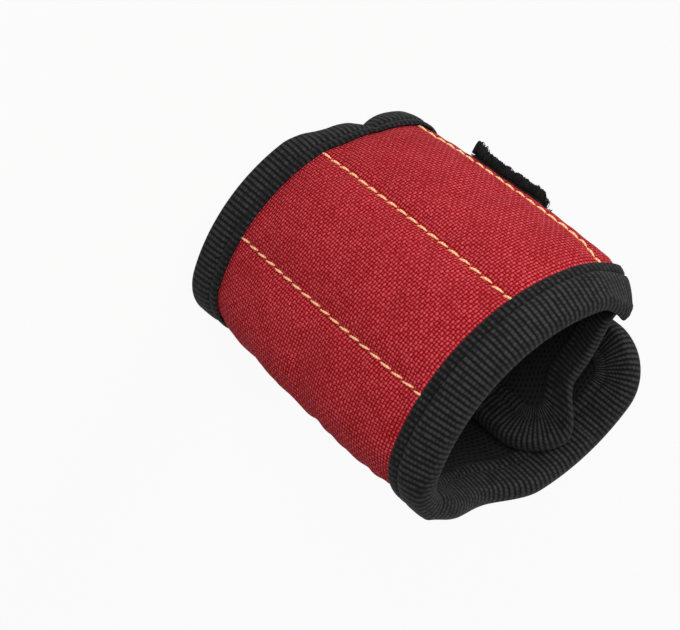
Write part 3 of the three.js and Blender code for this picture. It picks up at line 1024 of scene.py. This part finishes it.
finishes = dict(
    red=redWeave(),
    paleThread=threadFinish("seam_thread", thread["pale"], thread["paleShade"]),
    blackThread=threadFinish("black_thread", thread["black"], thread["blackShade"]),
    tape=edgeTapeFinish(),
    lining=liningFinish(),
    pile=fibreFinish("loop_pile", **pileFibre),
    hooks=fibreFinish("hook_nylon", **hookFibre),
    foam=fibreFinish("tray_foam", **foamFibre),
    nickel=nickelFinish(),
)
print("materials:", len(finishes))


# Each kind of layer is made body by body, with a short strip that bends across each seam
def stretches():
    cuts = [(snap(h - band["hingeReach"]), snap(h + band["hingeReach"])) for h in hinges]
    starts = [snap(loopTip)] + [cut[1] for cut in cuts]
    ends = [cut[0] for cut in cuts] + [snap(flapTip)]
    rigid = [(body, starts[k], ends[k]) for k, body in enumerate(bodies)]
    bending = [(hingeNames[k], *cuts[k], k) for k in range(len(cuts))]
    return rigid, bending


rigid, bending = stretches()


# A strip turns only between planes that the borders of all its layers lie beyond, so none tears there
bend = dict(
    most=4.2,            # before and after the seam
    margin=0.05,
    inner=-5.8,          # layers tried, out from the band line
    outer=2.6,
    layers=8,
    heights=46,
    aim=0.1,             # step along the band that gives its heading
)


def bendLine(k):
    _, first, last, _ = bending[k]
    middle, ahead = (place(hinges[k] + step, 0.0, middleHeight) for step in (0.0, bend["aim"]))
    heading = (ahead - middle) / np.linalg.norm(ahead - middle)
    out = np.linspace(bend["inner"], bend["outer"], bend["layers"])
    height = np.linspace(0, band["width"], bend["heights"])[:, None]
    before = np.min((middle - place(first, out, height)) @ heading) - bend["margin"] * metre
    after = np.min((place(last, out, height) - middle) @ heading) - bend["margin"] * metre
    before, after = (min(reach, bend["most"] * metre) for reach in (before, after))
    print(hingeNames[k], "bends", round(before / metre, 2), "before and", round(after / metre, 2), "after")
    return tuple(middle - before * heading), tuple(middle + after * heading)


bendLines = [bendLine(k) for k in range(len(hinges))]


def bendAt(thing, k):
    start, end = bendLines[k]
    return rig.blend(thing, bodies[k], bodies[k + 1], start=start, end=end)


# Heights of a panel's two cut edges, rounded off at the band's two tips
def panelEdges(along, inset):
    radius = band["tipRadius"] - inset
    fromTip = np.minimum(along - loopTip, flapTip - along) - inset
    missing = np.clip(radius - fromTip, 0, radius)
    cut = inset + radius - np.sqrt(radius ** 2 - missing ** 2)
    return cut, band["width"] - cut


def panelSheet(name, start, end, spec, face, depth, finish):
    tipInset = spec["inset"]
    start = max(start, loopTip + tipInset)
    end = min(end, flapTip - tipInset)
    along = stationsAlong(start, end, spec["alongStep"])[:, None]
    low, high = panelEdges(along, tipInset)
    share = np.linspace(0, 1, round((band["width"] - 2 * tipInset) / spec["heightStep"]) + 1)[None, :]
    height = low + (high - low) * share
    along = np.broadcast_to(along, height.shape)
    out = face(along, height)
    marks = np.stack([along, height, np.zeros(height.shape)], -1)
    sheet = Piece(name)
    sheet.slab(place(along, out, height), place(along, out + depth, height), marks)
    return sheet.make(finish)


def makeShells():
    def weaveSheet(name, start, end):
        return panelSheet(name, start, end, shell, shellFace, -shell["thickness"], finishes["red"])

    for body, start, end in rigid:
        outside = weaveSheet(body + "_shell", start, end)
        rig.ride(outside, body)
        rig.replaces(outside, body + "_outer")
        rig.slot(outside, "red_weave")
        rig.padded(outside, fill=0.7 if "pocket" in body else 0.4)
    for name, start, end, k in bending:
        strip = weaveSheet(name + "_shell", start, end)
        bendAt(strip, k)
        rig.slot(strip, "red_weave")
        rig.padded(strip, fill=0.3)
    print("shells:", len(rigid), "panels and", len(bending), "seam strips")


def makeLinings():
    tall = (band["width"] - 2 * lining["inset"]) * metre

    def knitSheet(name, start, end):
        return panelSheet(name, start, end, lining, liningFace, lining["thickness"], finishes["lining"])

    for name, start, end, k in bending:
        strip = knitSheet(name + "_lining", start, end)
        bendAt(strip, k)
        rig.slot(strip, "lining_mesh")
        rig.sheet(strip, ((end - start) * metre, tall), "stretched")
    for body, start, end in rigid:
        inside = knitSheet(body + "_lining_mesh", start, end)
        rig.ride(inside, body)
        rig.replaces(inside, body + "_lining")
        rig.slot(inside, "lining_mesh")
        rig.sheet(inside, ((end - start) * metre, tall), "stretched")
    print("linings:", len(rigid) + len(bending))


# Thin foam between shell and lining where there is no magnet tray
foam = dict(
    thickness=1.2,
    under=1.22,          # below the shell's outer face
    most=0.4,            # that face is taken no higher than this
    inset=6.4,
    heightStep=4.0,
    alongStep=2.0,
)


def foamFace(along, height):
    return np.minimum(shellFace(along, height), foam["most"]) - foam["under"]


def makeFoams():
    pads = [run for run in rigid if "pocket" not in run[0]]
    for body, start, end in pads:
        pad = panelSheet(body + "_foam_pad", start, end, foam, foamFace, -foam["thickness"], finishes["foam"])
        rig.ride(pad, body)
        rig.replaces(pad, body + "_foam")
        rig.slot(pad, "tray_foam")
        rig.padded(pad, fill=0.4)
    print("foam pads:", len(pads))


# Edge tape: a ribbed tape folded over the cut edges and sewn along a line inside the fold
fold = dict(
    width=9.5,
    proud=0.72,          # over the panel's face
    taper=0.45,          # thinner towards the fold
    swell=0.26,          # between the sew line and the fold
    sewLine=6.7,
    sunk=0.5,            # pulled in along that line
    sunkWidth=0.6,
    selvage=0.4,         # turned down at the free edges
    selvageFrom=9.0,
    selvageRun=0.5,
    selvageRib=0.5,      # ribs are flatter beyond the sew line
    corner=1.9,          # rounded corners of the blunt edge
    cornerShare=0.42,    # of the thickness, at most
    cornerSteps=5,
    blunt=0.22,          # the edge bulges a little
    thickness=0.5,
    innerFace=0.86,      # flatter on the inner side
    legStops=(9.5, 9.36, 9.0, 8.3, 7.5, 7.0, 6.7, 6.4, 5.9, 5.2, 4.4, 3.6, 2.8, 2.1),
)
blackStitch = dict(
    pitch=3.0,
    length=2.3,
    points=6,
    sides=6,
    radius=0.18,
    arch=0.16,
    sink=0.05,
    tapeRadius=0.22,     # on the loop and hook tapes
    tapeArch=0.14,
    twist=4.0,
    ply=0.1,
)


def foldFace(depth):
    face = fold["proud"] - fold["taper"] * (1 - depth / fold["width"])
    face = face + fold["swell"] * np.sin(np.pi * np.clip(depth / fold["sewLine"], 0, 1))
    face = face - fold["sunk"] * bell(depth - fold["sewLine"], fold["sunkWidth"])
    return face - fold["selvage"] * np.clip((depth - fold["selvageFrom"]) / fold["selvageRun"], 0, 1)


def foldOutline(thick, sloped):
    thick, sloped = thick[:, None], sloped[:, None]
    leg = np.array(fold["legStops"])[None, :]
    room = thick - sloped
    corner = np.minimum(fold["corner"], fold["cornerShare"] * room)
    leg = np.concatenate([np.broadcast_to(leg, (len(thick), leg.size)), corner], 1)
    outer = foldFace(leg) - sloped * slopeAt(leg)
    inner = -thick - fold["innerFace"] * foldFace(leg)
    turn = np.linspace(0, np.pi / 2, fold["cornerSteps"] + 1)[None, 1:]
    cornerD = corner * (1 - np.sin(turn))
    sinking = corner * (1 - np.cos(turn))
    outer = np.concatenate([outer, outer[:, -1:] - sinking], 1)
    inner = np.concatenate([inner, inner[:, -1:] + sinking], 1)
    leg = np.concatenate([leg, cornerD], 1)
    depth = np.concatenate([leg, 0 * thick - fold["blunt"], leg[:, ::-1]], 1)
    out = np.concatenate([outer, (outer[:, -1:] + inner[:, -1:]) / 2, inner[:, ::-1]], 1)
    goD, goU = np.gradient(depth, axis=-1), np.gradient(out, axis=-1)
    length = np.hypot(goD, goU)
    return depth, out, -goU / length, goD / length


# Routes along the edges: along, height, direction inward, and distance travelled
def straightRoute(start, end, edge):
    along = stationsAlong(start, end, band["step"])
    zero = np.zeros(along.shape)
    if edge == "hand":
        return along, zero, zero, zero + 1, along
    return along, zero + band["width"], zero, zero - 1, along


def tipRoute(start, tip):
    side = 1 if tip > start else -1
    radius, top = band["tipRadius"], band["width"]
    corner = tip - side * radius
    straight = stationsAlong(*sorted((start, corner)), band["step"])[::side]
    turn = np.linspace(0, np.pi / 2, round(radius * np.pi / 2 / band["step"]) + 1)[1:]
    upright = stationsAlong(radius, top - radius, band["step"])[1:-1]
    alongs = [straight, corner + side * radius * np.sin(turn), np.full(upright.shape, tip)]
    heights = [0 * straight, radius - radius * np.cos(turn), upright]
    inAlong = [0 * straight, -side * np.sin(turn), np.full(upright.shape, -side)]
    inHeight = [0 * straight + 1, np.cos(turn), 0 * upright]
    alongs += [alongs[1][::-1], straight[::-1]]
    heights += [top - heights[1][::-1], 0 * straight + top]
    inAlong += [inAlong[1][::-1], 0 * straight]
    inHeight += [-inHeight[1][::-1], 0 * straight - 1]
    alongs, heights, inAlong, inHeight = (np.concatenate(x) for x in (alongs, heights, inAlong, inHeight))
    travel = start + side * np.concatenate([[0], np.cumsum(np.hypot(np.diff(alongs), np.diff(heights)))])
    return alongs, heights, inAlong, inHeight, travel


def addFold(piece, route):
    along, height, inAlong, inHeight, travel = route
    sloped = upperSlope(along) * np.clip(-inHeight, 0, 1) + slope["lower"] * np.clip(inHeight, 0, 1)
    depth, out, normalD, normalU = foldOutline(stack(along), stack(along) * sloped)
    phase = travel / edgeTape["ribPitch"]
    rib = 1 - (2 * (phase - np.floor(phase)) - 1) ** 2
    nearSelvage = np.where(depth > fold["sewLine"], fold["selvageRib"], 1.0)
    raised = edgeTape["ribHeight"] * rib[:, None] * nearSelvage
    outerD, outerU = depth + normalD * raised, out + normalU * raised
    innerD, innerU = depth - normalD * fold["thickness"], out - normalU * fold["thickness"]

    def spread(d, u):
        return place(along[:, None] + inAlong[:, None] * d, u, height[:, None] + inHeight[:, None] * d)

    run = np.concatenate([[0], np.cumsum(np.hypot(np.diff(depth[0]), np.diff(out[0])))])
    marks = np.stack(np.broadcast_arrays(travel[:, None], run[None, :], 0.0), -1)
    piece.slab(spread(outerD, outerU), spread(innerD, innerU), marks)


def addBlackStitches(piece, lines, planes, radius):
    twist, ply = blackStitch["twist"], blackStitch["ply"]
    piece.tubes(lines, planes, radius, blackStitch["sides"], slot=1, twist=twist, ply=ply)


# Short stitches along the sew line of an edge tape, outside and inside
def addFoldStitches(piece, route):
    along, height, inAlong, inHeight, travel = route
    order = np.argsort(travel)
    low, high = travel[order[0]], travel[order[-1]]
    pitch = blackStitch["pitch"]
    numbers = np.arange(math.ceil(low / pitch), math.floor(high / pitch) + 1)
    share = np.linspace(-0.5, 0.5, blackStitch["points"])
    where = numbers[:, None] * pitch + share * blackStitch["length"]
    where = where[(where.min(1) >= low) & (where.max(1) <= high)]
    if not len(where):
        return

    def follow(values):
        return np.interp(where, travel[order], values[order])

    spotA = follow(along) + follow(inAlong) * fold["sewLine"]
    spotH = follow(height) + follow(inHeight) * fold["sewLine"]
    arch = blackStitch["arch"] * (1 - (2 * share) ** 4) - blackStitch["sink"]
    planes = np.stack([follow(inAlong)[:, 0], 0 * where[:, 0], follow(inHeight)[:, 0]], -1)
    sewn = float(foldFace(fold["sewLine"]))
    for level in (sewn + arch, -stack(follow(along)) - fold["innerFace"] * sewn - arch):
        lines = np.stack([spotA, np.broadcast_to(level, spotA.shape), spotH], -1)
        addBlackStitches(piece, lines, planes, blackStitch["radius"])


def edgeTapePiece(name, routes):
    tape = Piece(name + "_edge_tape")
    for route in routes:
        addFold(tape, route)
        addFoldStitches(tape, route)
    return tape.make(finishes["tape"], finishes["blackThread"])


def makeEdgeTapes():
    edges = ("hand", "forearm")
    for body, start, end in rigid:
        nodes = [body + "_binding_" + edge for edge in edges]
        routes = [straightRoute(start, end, edge) for edge in edges]
        if body in ("loop_end", "hook_flap"):
            nodes = [body + "_binding"]
            routes = [tipRoute(end, loopTip) if body == "loop_end" else tipRoute(start, flapTip)]
        thing = edgeTapePiece(body, routes)
        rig.ride(thing, body)
        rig.replaces(thing, *nodes)
        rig.slot(thing, "edge_tape")
    for name, start, end, k in bending:
        thing = bendAt(edgeTapePiece(name, [straightRoute(start, end, edge) for edge in edges]), k)
        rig.slot(thing, "edge_tape")
    print("edge tapes:", len(rigid) + len(bending))


# Pale stitches down the four pocket seams, with the lower thread on the lining
def makeSeamStitches():
    nodes = ["seam_thread_loop", "seam_thread_ab", "seam_thread_bc", "seam_thread_back"]
    count, sides = stitching["count"], stitching["sides"]
    share = np.linspace(-0.5, 0.5, stitching["rings"])
    lift = np.clip(np.cos(np.pi * share), 0, 1) ** stitching["flat"]
    radius = stitching["radius"] * (stitching["thin"] + (1 - stitching["thin"]) * lift)
    spun = dict(twist=stitching["twist"], ply=stitching["ply"])
    middle = middleHeight + (np.arange(count) - (count - 1) / 2) * stitching["pitch"]
    height = middle[:, None] + share * stitching["length"]
    planes = np.tile([1.0, 0.0, 0.0], (count, 1))
    for k in range(len(seams)):
        dice = np.random.RandomState(20 + k)
        lean = stitching["slant"] * (1 + stitching["slantVaries"] * dice.uniform(-1, 1, (count, 1)))
        along = sewnAt(k, height) + lean * share * stitching["length"]
        along = along + stitching["wander"] * dice.uniform(-1, 1, (count, 1))
        over = shellFace(along, height) - stitching["sink"] + stitching["rise"] * lift
        under = liningFace(along, height) + stitching["sink"]
        under = under - stitching["lower"] * stitching["rise"] * lift
        run = Piece(nodes[k].replace("thread", "stitches"))
        run.tubes(np.stack([along, over, height], -1), planes, radius, sides, **spun)
        run.tubes(np.stack([along, under, height], -1), planes, stitching["lower"] * radius, sides, **spun)
        thing = bendAt(run.make(finishes["paleThread"]), k)
        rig.replaces(thing, nodes[k])
        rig.slot(thing, "seam_thread")
    print("seam stitches:", len(seams) * count)


# Loop tape on the loop end: a base with a thick pile of small thread loops
loopTape = dict(
    start=loopTip + 12.0,
    end=seams[0] - 3.1,
    width=24.8,
    middle=middleHeight - 5.5,
    base=0.75,
    bed=0.1,             # over the shell
    edge=0.6,
    edgeDrop=0.55,       # share of the base that its rounded edge loses
    margin=0.2,          # of the pile, inside the base
    pressed=1.6,         # pile under the flap
    free=3.1,            # and where nothing lies on it
    freeFrom=-62.0,
    freeRun=8.0,
    loops=7000,
    loopRadius=0.11,
    loopSpread=0.5,
    spreadVaries=(0.6, 1.3),
    tallVaries=(0.6, 1.1),
    loopLean=0.45,
    loopPoints=7,
    loopSides=3,
    root=0.12,           # sunk in the base
    border=0.22,         # share of the loops that crowd the end by the seam
    borderReach=2.2,
    borderMargin=0.1,
    sideMargin=0.15,
    tuft=1.2,            # longest loops, at the lower corner by the seam
    tuftReach=2.2,
    stitchInset=1.8,
)


def tapeBase(piece, start, end, spec, face, depth, step=0.8):
    along = stationsAlong(start, end, step)[:, None]
    reach = spec["width"] / 2
    height = stationsAlong(spec["middle"] - reach, spec["middle"] + reach, step)[None, :]
    along, height = np.broadcast_arrays(along, height)
    inEdge = np.minimum.reduce([along - start, end - along, height - height.min(), height.max() - height])
    rounded = 1 - spec["edgeDrop"] * (1 - np.clip(inEdge / spec["edge"], 0, 1)) ** 2
    bed = face(along, height)
    marks = np.stack([along, height, 0 * height], -1)
    piece.slab(place(along, bed + depth * rounded, height), place(along, bed, height), marks)


def addTapeStitches(piece, start, end, spec, level):
    lines, planes = [], []
    inset = spec["stitchInset"]
    low, high = spec["middle"] - spec["width"] / 2 + inset, spec["middle"] + spec["width"] / 2 - inset
    pitch, length = blackStitch["pitch"], blackStitch["length"]
    share = np.linspace(-0.5, 0.5, blackStitch["points"]) * length
    arch = blackStitch["tapeArch"] * (1 - (2 * share / length) ** 4)
    for middle in np.arange(start + inset + pitch / 2, end - inset, pitch):
        for height in (low, high):
            across = height + 0 * share
            lines.append(np.stack([middle + share, level(middle + share, across, arch), across], -1))
            planes.append((0, 0, 1.0))
    for middle in np.arange(low + pitch / 2, high, pitch):
        for along in (start + inset, end - inset):
            spot = along + 0 * share
            lines.append(np.stack([spot, level(spot, middle + share, arch), middle + share], -1))
            planes.append((1.0, 0, 0))
    addBlackStitches(piece, np.array(lines), np.array(planes), blackStitch["tapeRadius"])


def makeLoopTape():
    start, end = loopTape["start"], loopTape["end"]
    pile = Piece("loop_tape_pile")

    def bed(along, height):
        return shellFace(along, height) + loopTape["bed"]

    tapeBase(pile, start, end, loopTape, bed, loopTape["base"])
    dice = np.random.RandomState(7)
    number = loopTape["loops"]
    along = dice.uniform(start + loopTape["margin"], end - loopTape["margin"], number)
    byBorder = dice.uniform(0, 1, number) < loopTape["border"]
    fromBorder = loopTape["borderMargin"] + loopTape["borderReach"] * dice.uniform(0, 1, number) ** 2
    along = np.where(byBorder, end - fromBorder, along)
    across = loopTape["width"] - 2 * loopTape["sideMargin"]
    height = loopTape["middle"] + dice.uniform(-0.5, 0.5, number) * across
    heading = dice.uniform(0, np.pi, number)
    spread = loopTape["loopSpread"] * dice.uniform(*loopTape["spreadVaries"], number)
    free = smooth((along - loopTape["freeFrom"]) / loopTape["freeRun"])
    tufted = 0.75 + 0.25 * np.sin(height * 1.9 + along * 0.7) * np.sin(height * 0.83 + 1.0)
    top = loopTape["pressed"] + (loopTape["free"] - loopTape["pressed"]) * free * tufted
    lowEnd = loopTape["middle"] - loopTape["width"] / 2
    top = top + loopTape["tuft"] * free * bell(height - lowEnd, loopTape["tuftReach"])
    tall = (top - loopTape["base"]) * dice.uniform(*loopTape["tallVaries"], number)
    lean = loopTape["loopLean"] * dice.uniform(-1, 1, (2, number))
    bow = np.linspace(0, np.pi, loopTape["loopPoints"])
    reach, rise = -np.cos(bow), np.sin(bow) ** 0.8
    lineA = along[:, None] + spread[:, None] * reach * np.cos(heading)[:, None] + lean[0][:, None] * rise
    lineH = height[:, None] + spread[:, None] * reach * np.sin(heading)[:, None] + lean[1][:, None] * rise
    root = bed(along, height) + loopTape["base"] - loopTape["root"]
    lineU = root[:, None] + tall[:, None] * rise
    planes = np.stack([-np.sin(heading), 0 * heading, np.cos(heading)], -1)
    lines = np.stack([lineA, lineU, lineH], -1)
    pile.tubes(lines, planes, loopTape["loopRadius"], loopTape["loopSides"])

    def level(a, h, arch):
        return bed(a, h) + loopTape["base"] + arch

    addTapeStitches(pile, start, end, loopTape, level)
    thing = pile.make(finishes["pile"], finishes["blackThread"])
    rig.ride(thing, "loop_end")
    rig.replaces(thing, "loop_tape")
    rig.slot(thing, "loop_tape")
    print("loop tape:", number, "loops")


# Hook tape on the flap's inner face: rows of small bent hooks
hookTape = dict(
    start=flapHinge + 2.5,
    end=flapTip - 12.0,
    width=26.0,
    middle=middleHeight - 5,
    base=0.6,
    bed=0.1,             # under the lining
    edge=0.7,
    edgeDrop=0.55,
    hook=0.62,
    reach=0.55,
    pitch=1.35,
    radius=0.11,
    sides=5,
    root=0.05,           # sunk in the base
    wander=0.12,
    firstRow=0.9,
    lastRow=0.6,
    bend=[(0.0, 0.0), (0.0, 0.35), (0.06, 0.7), (0.24, 0.95), (0.5, 1.0), (0.68, 0.8), (0.7, 0.6)],
    stitchInset=1.8,
)


def makeHookTape():
    hooks = Piece("hook_tape_hooks")
    start, end = hookTape["start"], hookTape["end"]

    def bed(along, height):
        return liningFace(along, height) - hookTape["bed"]

    tapeBase(hooks, start, end, hookTape, bed, -hookTape["base"])
    dice = np.random.RandomState(11)
    low, high = (hookTape["middle"] + side * hookTape["width"] / 2 for side in (-1, 1))
    first, last, pitch = hookTape["firstRow"], hookTape["lastRow"], hookTape["pitch"]
    along, height = np.meshgrid(
        np.arange(start + first, end - last, pitch),
        np.arange(low + first, high - last, pitch),
    )
    along, height = along.ravel(), height.ravel()
    number = along.size
    along = along + hookTape["wander"] * dice.uniform(-1, 1, number)
    height = height + hookTape["wander"] * dice.uniform(-1, 1, number)
    facing = np.where(dice.uniform(0, 1, number) < 0.5, -1.0, 1.0)
    aside, down = np.array(hookTape["bend"]).T
    lineA = along[:, None] + facing[:, None] * aside * hookTape["reach"]
    lineH = np.broadcast_to(height[:, None], lineA.shape)
    root = bed(along, height) - hookTape["base"] + hookTape["root"]
    lineU = root[:, None] - hookTape["hook"] * down
    planes = np.tile([0.0, 0.0, 1.0], (number, 1))
    hooks.tubes(np.stack([lineA, lineU, lineH], -1), planes, hookTape["radius"], hookTape["sides"])

    def level(a, h, arch):
        return bed(a, h) - hookTape["base"] - arch

    addTapeStitches(hooks, start, end, hookTape, level)
    thing = hooks.make(finishes["hooks"], finishes["blackThread"])
    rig.ride(thing, "hook_flap")
    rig.replaces(thing, "hook_tape")
    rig.slot(thing, "hook_tape")
    print("hook tape:", number, "hooks")


makeShells()
makeLinings()
makeFoams()
makeEdgeTapes()
makeSeamStitches()
makeLoopTape()
makeHookTape()

# The pieces inside the band keep their solids
for name, node in frame["nodes"].items():
    inner = finishes["nickel"] if "_magnet_" in name and "tray" not in name else finishes["foam"]
    node.data.materials.clear()
    node.data.materials.append(inner)
print("inner pieces dressed")

studio = dict(
    floorColour=(0.62, 0.62, 0.62),
    floorSize=4.0,
    floorDrop=0.0008,    # metres under the band
    floorWhite=0.93,     # share of the floor's own white, where it is seen
    floorRoughness=0.9,
    sky=(1.0, 1.0, 1.0),
    ambient=0.14,        # strength of the sky's light on things
    seen=1.0,            # and where it is seen
    lamps=[
        # name, direction from the band, distance, size, watts, colour
        ("front", (0.04, -0.85, 0.52), 0.80, 0.45, 4.9, (1.0, 0.99, 0.97)),
        ("side", (-0.90, -0.25, 0.36), 0.80, 0.55, 3.8, (1.0, 1.0, 1.0)),
        ("back", (0.25, 0.92, 0.20), 0.90, 0.80, 4.0, (1.0, 1.0, 1.0)),
    ],
)


def makeSky():
    scene.world = bpy.data.worlds.new("studio")
    sky = NodeTree(scene.world)
    sky.fill("Background", Color=studio["sky"], Strength=studio["ambient"])
    white = sky.add("ShaderNodeBackground", {}, {"Color": studio["sky"], "Strength": studio["seen"]})
    sky.surface("World Output", sky.seenDirectly(), sky.known("Background"), white)


def makeFloor():
    half = studio["floorSize"] / 2
    corners = [(-half, -half, 0), (half, -half, 0), (half, half, 0), (-half, half, 0)]
    mesh = bpy.data.meshes.new("floor")
    mesh.from_pydata(corners, [], [(0, 1, 2, 3)])
    floor = bpy.data.objects.new("floor", mesh)
    floor.location.z = -studio["floorDrop"]
    scene.collection.objects.link(floor)
    paper = Finish("floor_paper", Specular_IOR_Level=0.1)
    paper.paint(Base_Color=studio["floorColour"], Roughness=studio["floorRoughness"])
    glow = paper.add("ShaderNodeEmission", {}, {})
    share = paper.seenDirectly() * studio["floorWhite"]
    paper.surface("Material Output", share, paper.known("Principled BSDF"), glow)
    floor.data.materials.append(paper.material)
    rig.stage(floor)


def makeLamps():
    for name, direction, distance, size, watts, colour in studio["lamps"]:
        lamp = bpy.data.lights.new(name, "AREA")
        lamp.energy, lamp.size, lamp.color = watts, size, colour
        thing = bpy.data.objects.new(name, lamp)
        back = Vector(direction).normalized()
        thing.location = bandCentre + back * distance
        thing.rotation_euler = back.to_track_quat("Z", "Y").to_euler()
        scene.collection.objects.link(thing)


view = dict(
    azimuth=11.714,
    elevation=40.125,
    roll=131.402,
    distance=396.38,
    aside=-17.792,
    above=-4.053,
    lens=89.492,
    sensor=36.0,
    clip=(0.01, 20),
)


def makeCamera():
    turn, lift, roll = (math.radians(view[key]) for key in ("azimuth", "elevation", "roll"))
    back = Vector((math.sin(turn) * math.cos(lift), -math.cos(turn) * math.cos(lift), math.sin(lift)))
    level = Vector((math.cos(turn), math.sin(turn), 0))
    upright = back.cross(level)
    right = math.cos(roll) * level + math.sin(roll) * upright
    up = -math.sin(roll) * level + math.cos(roll) * upright
    spot = (back * view["distance"] + right * view["aside"] + up * view["above"]) * metre
    data = bpy.data.cameras.new("camera")
    data.lens, data.sensor_width = view["lens"], view["sensor"]
    data.clip_start, data.clip_end = view["clip"]
    camera = bpy.data.objects.new("camera", data)
    axes = Matrix((right, up, back)).transposed().to_4x4()
    camera.matrix_world = Matrix.Translation(bandCentre + spot) @ axes
    scene.collection.objects.link(camera)
    scene.camera = camera


bandCentre = Vector((loopCentre[0], loopCentre[1], middleHeight * metre))
scene.view_settings.view_transform = "Standard"
makeSky()
makeFloor()
makeLamps()
makeCamera()
print("studio and camera set")

bpy.context.view_layer.update()
with open("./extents.json", "w") as sizes:
    json.dump({"cad": [list(c) for c in cadBox], "visual": [list(c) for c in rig.bounds()]}, sizes)
